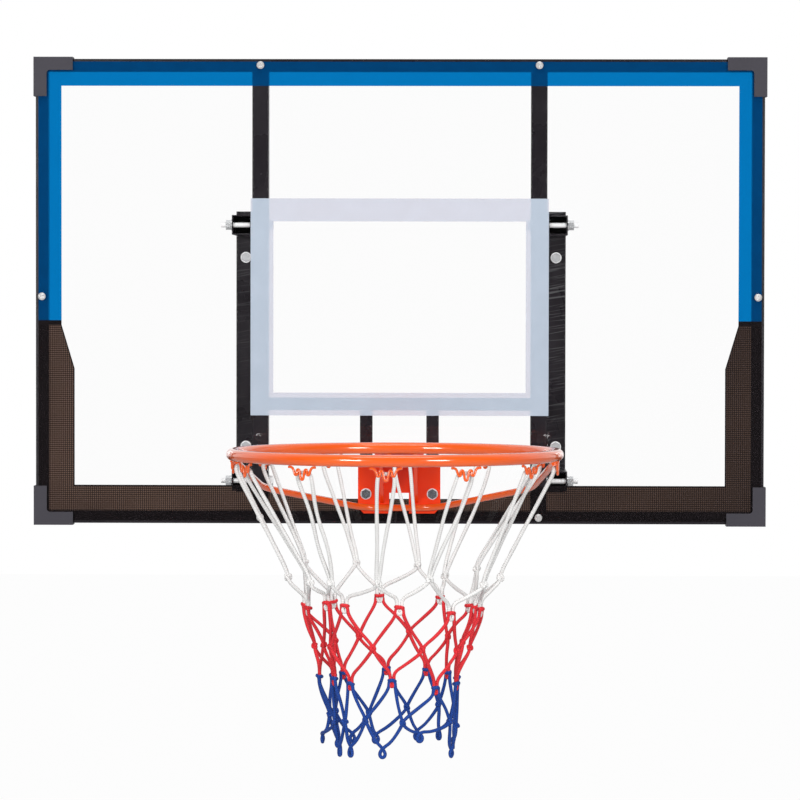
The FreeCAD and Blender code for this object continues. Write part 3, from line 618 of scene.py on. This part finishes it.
class Cords:
    """All the cords of one colour, gathered as tubes into one mesh with braid coordinates."""

    SIDES = 10
    BRAID_LENGTH = 2.4
    WAVER = 0.05
    WAVER_RATE = 1.3
    KNOT_STEPS = 15
    KNOT_INSET = 0.38
    KNOT_HEIGHT = 0.8625
    KNOT_LEAN = 0.5
    KNOT_SHARE = 0.8
    COLLAR_STEPS = 8
    COLLAR_TILT = 0.28
    COLLAR_SLOPE = 0.2

    def __init__(self, diameter, seed):
        self.diameter = diameter
        self.chance = random.Random(seed)
        self.corners = []
        self.faces = []
        self.braid = []

    def slack(self, size):
        return self.chance.uniform(-size, size)

    def run(self, points, closed=False, share=1.0):
        """One tube. Its thickness wavers a little, and its rings don't twist."""
        line = smooth_line(points, closed)
        first = len(self.corners)
        start, end = (line[-1], line[0]) if closed else (line[0], line[-1])
        before = [start] + line[:-1]
        after = line[1:] + [end]
        heading = [(later - earlier).normalized() for earlier, later in zip(before, after)]
        across = heading[0].orthogonal().normalized()
        wave = self.chance.uniform(0, math.tau)
        travelled = 0.0
        along = []
        for n, (point, ahead) in enumerate(zip(line, heading)):
            if n:
                travelled += (point - line[n - 1]).length
            along.append(travelled / (self.diameter * MM * self.BRAID_LENGTH))
            across = (across - ahead * across.dot(ahead)).normalized()
            over = ahead.cross(across)
            fullness = 1 + self.WAVER * math.sin(wave + along[-1] * self.WAVER_RATE)
            radius = self.diameter / 2 * MM * share * fullness
            for side in range(self.SIDES):
                turn = math.tau * side / self.SIDES
                self.corners.append(point + (across * math.cos(turn) + over * math.sin(turn)) * radius)
        self.skin(first, along, closed)

    def skin(self, first, along, closed):
        """The faces between a tube's rings, and over the ends of an open tube."""
        count = len(along)
        sides = self.SIDES
        for n in range(count if closed else count - 1):
            ahead = (n + 1) % count
            step = along[1] - along[0] if ahead == 0 else along[ahead] - along[n]
            low, high = along[n], along[n] + step
            here = first + n * sides
            there = first + ahead * sides
            for side in range(sides):
                beside = (side + 1) % sides
                self.faces.append((here + side, here + beside, there + beside, there + side))
                left, right = side / sides, (side + 1) / sides
                self.braid.append(((left, low), (right, low), (right, high), (left, high)))
        if not closed:
            for start in (first, first + (count - 1) * sides):
                self.faces.append(tuple(range(start, start + sides)))
                self.braid.append(tuple((side / sides, along[-1]) for side in range(sides)))

    def knot(self, tie, width):
        """A tight overhand knot, turned a little differently each time."""
        lean = Matrix.Rotation(self.slack(self.KNOT_LEAN), 3, "X")
        spin = Matrix.Rotation(self.slack(math.pi), 3, "Z")
        reach = width / 2 - self.diameter * self.KNOT_INSET
        points = []
        for n in range(self.KNOT_STEPS):
            t = math.tau * n / self.KNOT_STEPS
            x = (math.sin(t) + 2 * math.sin(2 * t)) / 3
            y = (math.cos(t) - 2 * math.cos(2 * t)) / 3
            z = -math.sin(3 * t) * self.KNOT_HEIGHT
            points.append(tie.at(*(lean @ spin @ Vector((x, y, z)) * reach)))
        self.run(points, closed=True, share=self.KNOT_SHARE)

    def collar(self, tie, half_width, half_depth, up):
        """A bight drawn tight round the two cords that it holds."""
        tilt = self.slack(self.COLLAR_TILT)
        points = []
        for n in range(self.COLLAR_STEPS):
            t = math.tau * n / self.COLLAR_STEPS
            right = math.cos(t) * half_width
            out = math.sin(t) * half_depth
            points.append(tie.at(right, out, up + right * tilt + out * self.COLLAR_SLOPE))
        self.run(points, closed=True)

    def bight(self, left, right, half):
        """A cord from one knot to the next. half gives one side's points, from its knot to the middle."""
        first = half(-1, left)
        second = half(1, right)
        self.run(first + second[::-1])

    def piece(self, name, material, slot, node):
        item = meshed(name, self.corners, self.faces, material)
        layer = item.data.uv_layers.new(name="braid")
        spots = [spot for face in self.braid for spot in face]
        for loop, spot in zip(layer.data, spots):
            loop.uv = spot
        item.data.polygons.foreach_set("use_smooth", [True] * len(self.faces))
        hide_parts(node)
        return item


def hook_loop(cords, tie, turn, waist, belly):
    """A white loop behind its hook; its two cords come together at the first knot."""
    top = Tie(turn, LOOP_RADIUS, LOOP_DROP)

    def half(side):
        near = top.at(right=side * 12.6, out=-1, up=-9)
        low = tie.at(right=side * 2.4, up=7)
        bow = top.right * side * MM
        return [
            top.at(right=side * 9.5, up=-0.4),
            near,
            near.lerp(low, WAIST_SHARE) + bow * (waist + cords.slack(1.2)),
            near.lerp(low, BELLY_SHARE) + bow * (belly + cords.slack(0.8)),
            low,
            tie.at(right=side * 0.8),
        ]

    left = half(-1)
    right = half(1)
    cords.run(left[::-1] + [top.at()] + right)


def hanging_bight(cords, left, bottom, right, gap, tail):
    """A cord from one knot down to its lowest point and up to the next knot."""
    def half(side, knot):
        neck = bottom.at(right=side * gap, up=tail)
        start = knot.at(right=-side * 1.5, up=-5)
        return [
            knot.at(),
            start,
            start.lerp(neck, 0.55) + Vector((cords.slack(1.5), cords.slack(1.5), -1.5)) * MM,
            neck,
            bottom.at(right=side * gap, up=2),
            bottom.at(right=side * gap * 0.8, up=-5),
        ]

    cords.bight(left, right, half)


def standing_bight(cords, left, top, right, gap):
    """A cord from one knot up, over the cords that carry it, and down to the next knot."""
    def half(side, knot):
        neck = top.at(right=side * (gap + 0.6), up=-9)
        start = knot.at(right=-side * 1.2, up=4)
        return [
            knot.at(),
            start,
            start.lerp(neck, 0.5) + Vector((cords.slack(2), cords.slack(2), cords.slack(2))) * MM,
            neck,
            top.at(right=side * gap, out=0.6, up=1.5),
            top.at(right=side * gap * 0.6, out=3.2, up=4.2),
        ]

    cords.bight(left, right, half)


def end_loop(cords, left, eye, right):
    """The lowest cord: from one knot to a small crossed eye and up to the next knot."""
    def half(side, knot):
        neck = eye.at(right=side * 1.4, out=side * 1.6, up=9)
        start = knot.at(right=-side * 1.5, up=-5)
        return [
            knot.at(),
            start,
            start.lerp(neck, 0.6) + Vector((cords.slack(2), cords.slack(2), -4)) * MM,
            neck,
            eye.at(right=-side * 4.6, out=-side * 0.8, up=1),
            eye.at(right=-side * 2.6, up=-5),
        ]

    cords.bight(left, right, half)


def net():
    """Ties each row to the next, hook by hook. The white cords are baked in place, and the red and blue ones
    go with the net.
    """
    white = Cords(diameter=5.5, seed=5)
    red = Cords(diameter=5.0, seed=8)
    blue = Cords(diameter=5.0, seed=13)
    tables = (WHITE_KNOTS, WHITE_RED, RED_KNOTS, RED_BLUE, BLUE_KNOTS, END_EYES)
    rows = [[Tie(*place) for place in table] for table in tables]
    white_knots, white_red, red_knots, red_blue, blue_knots, eyes = rows
    for n in range(HOOKS):
        after = (n + 1) % HOOKS
        turn = HOOK_TURN + HOOK_STEP * n + HOOK_SHIFTS.get(n, 0)
        hook_loop(white, white_knots[n], turn, *LOOP_BOWS.get(n, LOOP_BOW))
        white.knot(white_knots[n], WHITE_KNOT)
        hanging_bight(white, white_knots[n], white_red[n], white_knots[after], gap=3.4, tail=17)
        red.collar(white_red[n], half_width=5.6, half_depth=4.4, up=4)
        standing_bight(red, red_knots[n], white_red[n], red_knots[after], gap=5.2)
        red.knot(red_knots[n], COLOUR_KNOT)
        hanging_bight(red, red_knots[n], red_blue[n], red_knots[after], gap=2.6, tail=15)
        blue.collar(red_blue[n], half_width=4.6, half_depth=3.6, up=3)
        standing_bight(blue, blue_knots[n], red_blue[n], blue_knots[after], gap=4.2)
        blue.knot(blue_knots[n], COLOUR_KNOT)
        end_loop(blue, blue_knots[n], eyes[n], blue_knots[after])
    hung = white.piece("net_white", white_cord, "white_cord", "net_white_cords")
    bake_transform(hung)
    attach(red.piece("net_red", red_cord, "red_cord", "net_red_cords"), "net")
    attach(blue.piece("net_blue", blue_cord, "blue_cord", "net_blue_cords"), "net")


white_cord = cord("white_cord", dark=(0.61, 0.605, 0.595, 1), light=(0.80, 0.795, 0.785, 1))
red_cord = cord("red_cord", dark=(0.45, 0.010, 0.016, 1), light=(0.78, 0.030, 0.040, 1))
blue_cord = cord("blue_cord", dark=(0.003, 0.022, 0.14, 1), light=(0.008, 0.060, 0.33, 1))
net()


# Stage, lights and camera

RIM_HEIGHT = 3.05
FLOOR_HALF = 40.0
FLOOR_GLOW = 0.97
LAMP_AIM = (0, -0.4, -0.1)
LAMP_SIZE = (0.95, 1.1)
LAMP_POWER = 57
SENSOR_WIDTH = 36.0
LENS = 176.65
CAMERA_PLACE = Vector((0.100, -6.160, 0.086))
CAMERA_AIM = Vector((0.001, -0.160, -0.0715))
CAMERA_ROLL = math.radians(0.1)


def world_light():
    """White to the eye. The room lights the object softly, most of all from the front, and what its
    glossy surfaces mirror is bright behind it and dark in front."""
    world = bpy.data.worlds.new("room")
    bpy.context.scene.world = world
    s = Shader(world, "ShaderNodeOutputWorld")
    path = s.add("ShaderNodeLightPath").outputs
    seen = s.math("MAXIMUM", path["Is Camera Ray"], path["Is Transmission Ray"])
    _, y, _ = s.axes(s.coordinates("Generated"))
    lit = s.spread(y, low=-1.0, high=-0.2, to_low=1.2, to_high=0.25)
    mirrored = s.spread(y, low=-0.3, high=0.4, to_low=0.04, to_high=1.0)
    room = s.blend(path["Is Glossy Ray"], lit, mirrored, s.NUMBERS)
    strength = s.blend(seen, room, 1.0, s.NUMBERS)
    s.surface(s.add("ShaderNodeBackground", Color=grey(1.0), Strength=strength).outputs[0])


def aimed(place, aim):
    """The turn that points a lamp or a camera from a place at its aim."""
    return (Vector(aim) - Vector(place)).to_track_quat("-Z", "Y")


def softbox(name, place, aim, size, power):
    light = bpy.data.lights.new(name, "AREA")
    light.shape = "RECTANGLE"
    light.size, light.size_y = size
    light.energy = power
    lamp = linked(name, light)
    lamp.location = place
    lamp.rotation_euler = aimed(place, aim).to_euler()


def floor():
    """A pale floor one regulation rim height below the ring. It looks white and keeps shadows."""
    s = new_material("floor")
    paint = s.shader("Principled", Base_Color=grey(0.85), Roughness=0.9)
    glow = s.add("ShaderNodeEmission", Color=grey(1.0), Strength=1.0).outputs[0]
    seen = s.add("ShaderNodeLightPath").outputs["Is Camera Ray"]
    material = s.surface(s.mixed(s.math("MULTIPLY", seen, FLOOR_GLOW), paint, glow))
    level = RING_Z - RIM_HEIGHT
    signs = ((-1, -1), (1, -1), (1, 1), (-1, 1))
    corners = [(x * FLOOR_HALF, y * FLOOR_HALF, level) for x, y in signs]
    item = meshed("floor", corners, [(0, 1, 2, 3)], material)


def camera():
    data = bpy.data.cameras.new("photo_view")
    data.sensor_width = SENSOR_WIDTH
    data.lens = LENS
    item = linked("photo_view", data)
    item.location = CAMERA_PLACE
    roll = Quaternion((0, 0, 1), CAMERA_ROLL)
    item.rotation_euler = (aimed(CAMERA_PLACE, CAMERA_AIM) @ roll).to_euler()
    bpy.context.scene.camera = item


world_light()
softbox("left_softbox", place=(-1.85, -3.95, 0.45), aim=LAMP_AIM, size=LAMP_SIZE, power=LAMP_POWER)
softbox("right_softbox", place=(1.95, -3.95, 0.45), aim=LAMP_AIM, size=LAMP_SIZE, power=LAMP_POWER)
softbox("top_softbox", place=(0, -1.6, 3.2), aim=(0, -0.4, 0), size=(2.4, 1.2), power=32)
floor()
camera()
bpy.context.scene.view_settings.view_transform = "Standard"
